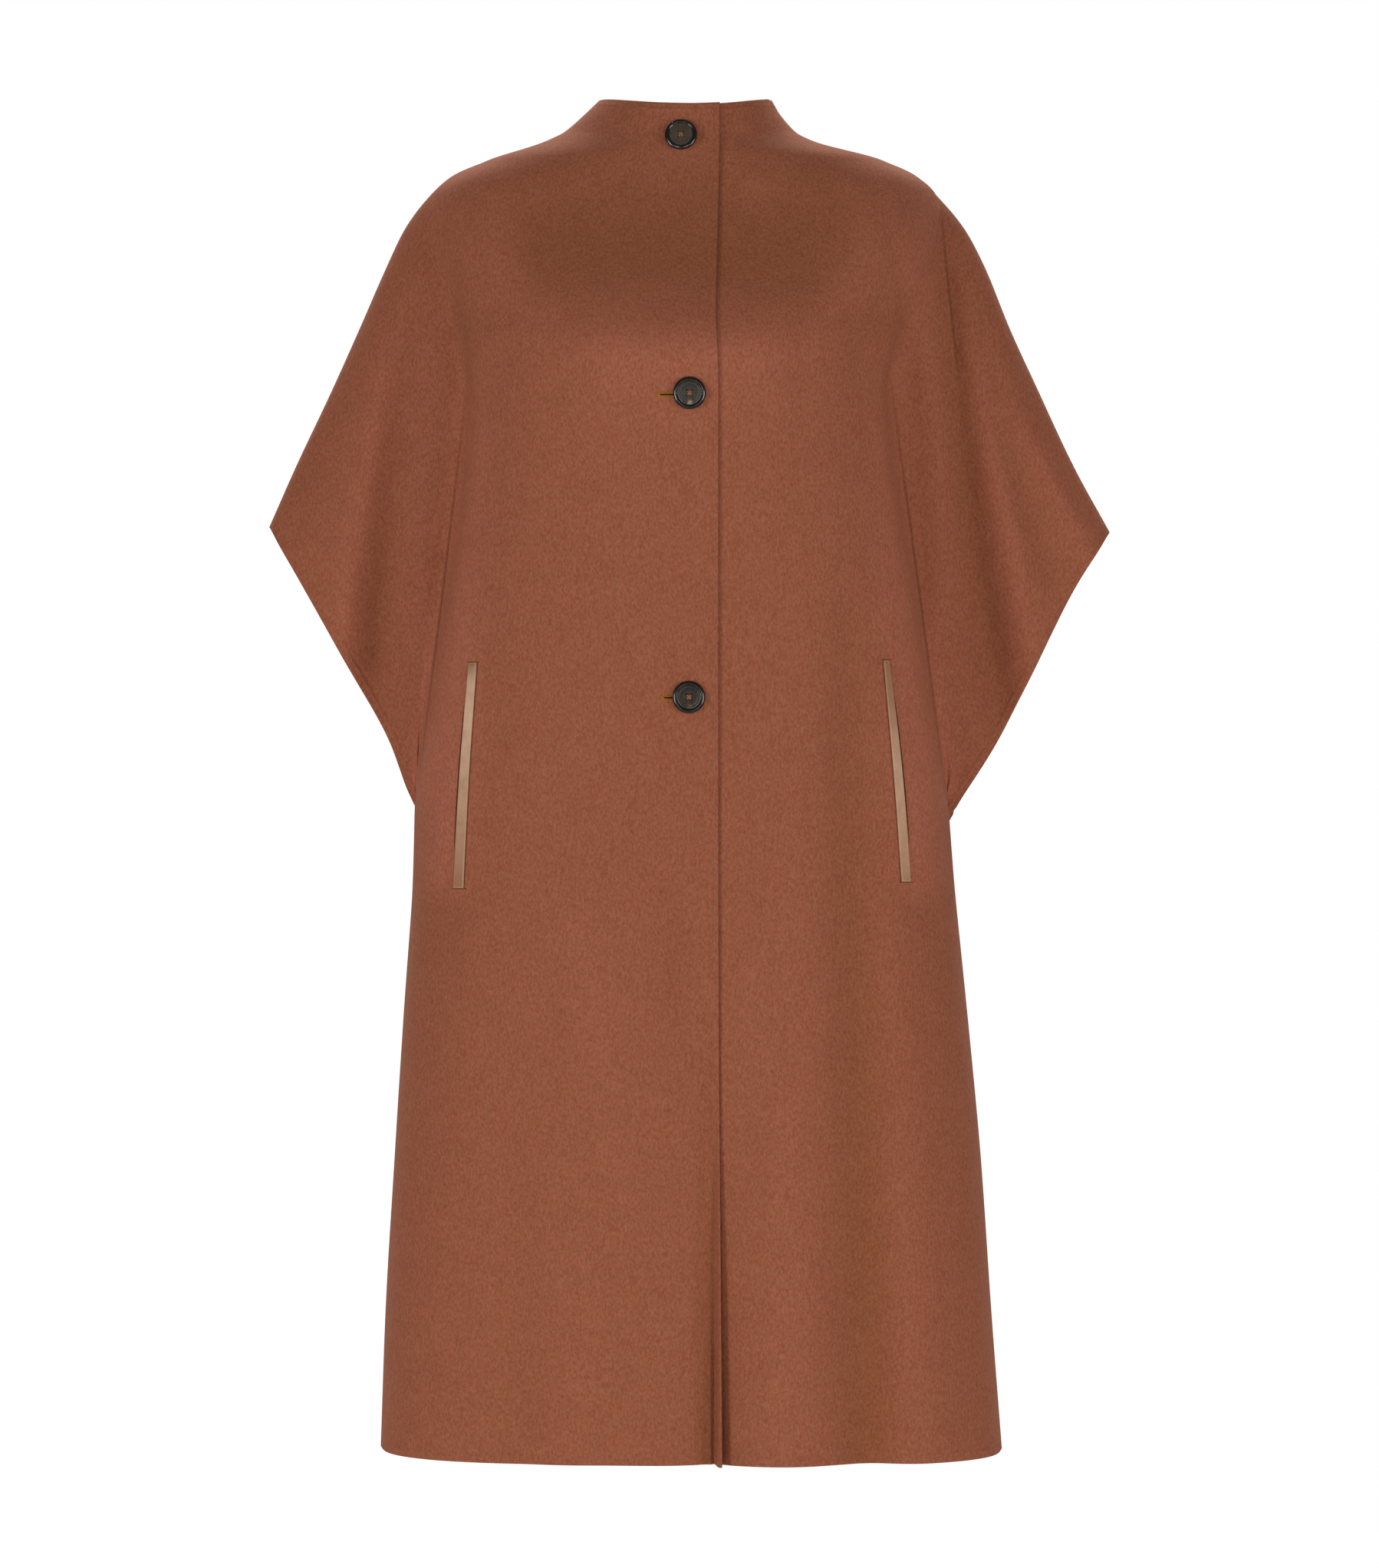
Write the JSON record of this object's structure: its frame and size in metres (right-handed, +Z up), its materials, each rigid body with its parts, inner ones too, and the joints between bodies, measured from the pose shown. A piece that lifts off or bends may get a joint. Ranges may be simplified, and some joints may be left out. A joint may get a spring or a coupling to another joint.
{
  "type": "wool cape",
  "caption": "Knee-length wool cape with a grown-on funnel neck, wing sleeves that open at slanted cuffs, a buttoned lapped front and leather pocket welts, filled out as worn.",
  "frame": {"origin": "in the middle of the neck, level with the tops of the shoulders, where the wearer holds the garment up", "axes": "+Z up the garment to the neck, -Y out of its front, +X to the wearer's left"},
  "size_m": [0.6576, 0.2793, 1.0552],
  "materials": {
    "wool": "matt, short raised nap",
    "welt_leather": "satin",
    "button_horn": "polished rim with a duller dish"
  },
  "bodies": {
    "root": {"right_front": "wool", "left_front": "wool", "back": "wool", "welt_right": "welt_leather", "welt_left": "welt_leather", "button_top": "button_horn", "button_middle": "button_horn", "button_bottom": "button_horn"}
  },
  "joints": []
}
